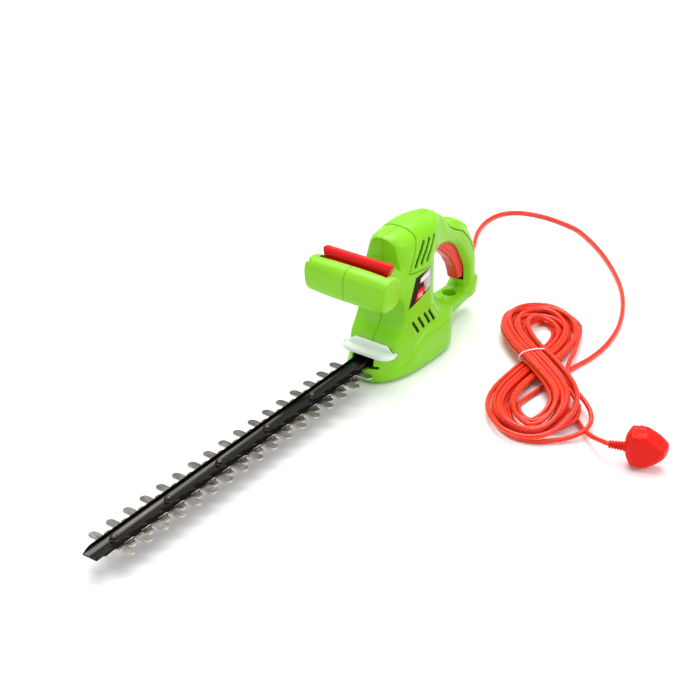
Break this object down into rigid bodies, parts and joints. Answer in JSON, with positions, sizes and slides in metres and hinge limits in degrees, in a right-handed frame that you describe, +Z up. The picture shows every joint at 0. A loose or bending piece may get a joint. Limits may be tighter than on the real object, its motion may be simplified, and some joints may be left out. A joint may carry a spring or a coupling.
{
  "type": "hedge trimmer",
  "caption": "Corded electric hedge trimmer with a double-sided reciprocating blade, front and rear switch handles, clear guard and a bundled mains cord with its plug.",
  "frame": {"origin": "on the surface it lies on, under the middle of the housing base, in the seam plane between the housing halves", "axes": "+X along the blade to its tip, +Y to the left when held behind the rear handle, +Z up"},
  "size_m": [1.0681, 0.5244, 0.19],
  "materials": {
    "green_plastic": "satin moulded",
    "red_plastic": "satin moulded",
    "clear_plastic": "clear glossy",
    "black_plastic": "matt",
    "label_film": "printed gloss film",
    "black_steel": "semi-gloss black",
    "blade_steel": "punched and ground",
    "bright_steel": "plated",
    "zinc_alloy": "die cast",
    "bronze": "sintered",
    "brass": "plain",
    "copper": "enamelled wire",
    "carbon": "matt",
    "lamination": "stacked sheet",
    "cord_jacket": "smooth",
    "white_plastic": "matt"
  },
  "bodies": {
    "trimmer": {"housing_left": "green_plastic", "housing_right": "green_plastic", "vent_saddle": "green_plastic", "handle_strip": "green_plastic", "blade_guard": "clear_plastic", "side_label": "label_film", "guide_channel": "black_steel", "fixed_comb": "blade_steel", "blade_bolts": "bright_steel", "blade_nuts": "bright_steel", "blade_washers": "bright_steel", "clamp_screws": "bright_steel", "gearcase": "zinc_alloy", "gear_bush": "bronze", "bearing_lower": "bright_steel", "bearing_upper": "bright_steel", "motor_bracket": "zinc_alloy", "stator_core": "lamination", "stator_windings": "copper", "brush_holders": "brass", "brushes": "carbon", "capacitor": "white_plastic", "lever_pin": "bright_steel", "lever_spring": "bright_steel", "lever_switch": "black_plastic", "trigger_pin": "bright_steel", "trigger_spring": "bright_steel", "trigger_switch": "black_plastic", "wiring": "cord_jacket", "cord_clamp": "black_plastic", "housing_screws": "bright_steel", "cord_boot": "black_plastic", "mains_cord": "cord_jacket", "cord_hank": "cord_jacket", "hank_tie": "white_plastic", "plug_lead": "cord_jacket", "plug_boot": "red_plastic", "plug_body": "red_plastic", "plug_pins": "brass", "plug_fuse_carrier": "red_plastic"},
    "armature": {"armature_shaft": "bright_steel", "pinion": "bright_steel", "armature_core": "lamination", "commutator": "copper", "fan": "black_plastic"},
    "gear": {"drive_gear": "bright_steel", "gear_shaft": "bright_steel", "eccentric": "bright_steel"},
    "cutter": {"cutter_blade": "blade_steel"},
    "front_lever": {"front_lever": "red_plastic"},
    "trigger": {"trigger": "red_plastic"}
  },
  "joints": [
    {"name": "armature_spin", "type": "hinge", "parent": "trimmer", "child": "armature", "pos_m": [-0.002, 0, 0.1], "axis": [0, 0, 1], "continuous": true},
    {"name": "gear_spin", "type": "hinge", "parent": "trimmer", "child": "gear", "pos_m": [0.033, 0, 0.041], "axis": [0, 0, 1], "continuous": true},
    {"name": "cutter_slide", "type": "slide", "parent": "trimmer", "child": "cutter", "axis": [1, 0, 0], "range_m": [-0.01, 0.01]},
    {"name": "lever_press", "type": "hinge", "parent": "trimmer", "child": "front_lever", "pos_m": [0.123, 0, 0.14], "axis": [0, 1, 0], "range_deg": [0, 8], "stiffness_Nm_per_rad": 0.8, "springref_deg": -22.92},
    {"name": "trigger_press", "type": "hinge", "parent": "trimmer", "child": "trigger", "pos_m": [-0.066, 0, 0.142], "axis": [0, 1, 0], "range_deg": [0, 4.5], "stiffness_Nm_per_rad": 2, "springref_deg": -17.19}
  ],
  "couplings": [
    {"joint": "gear_spin", "follows": "armature_spin", "ratio": -0.16667}
  ]
}
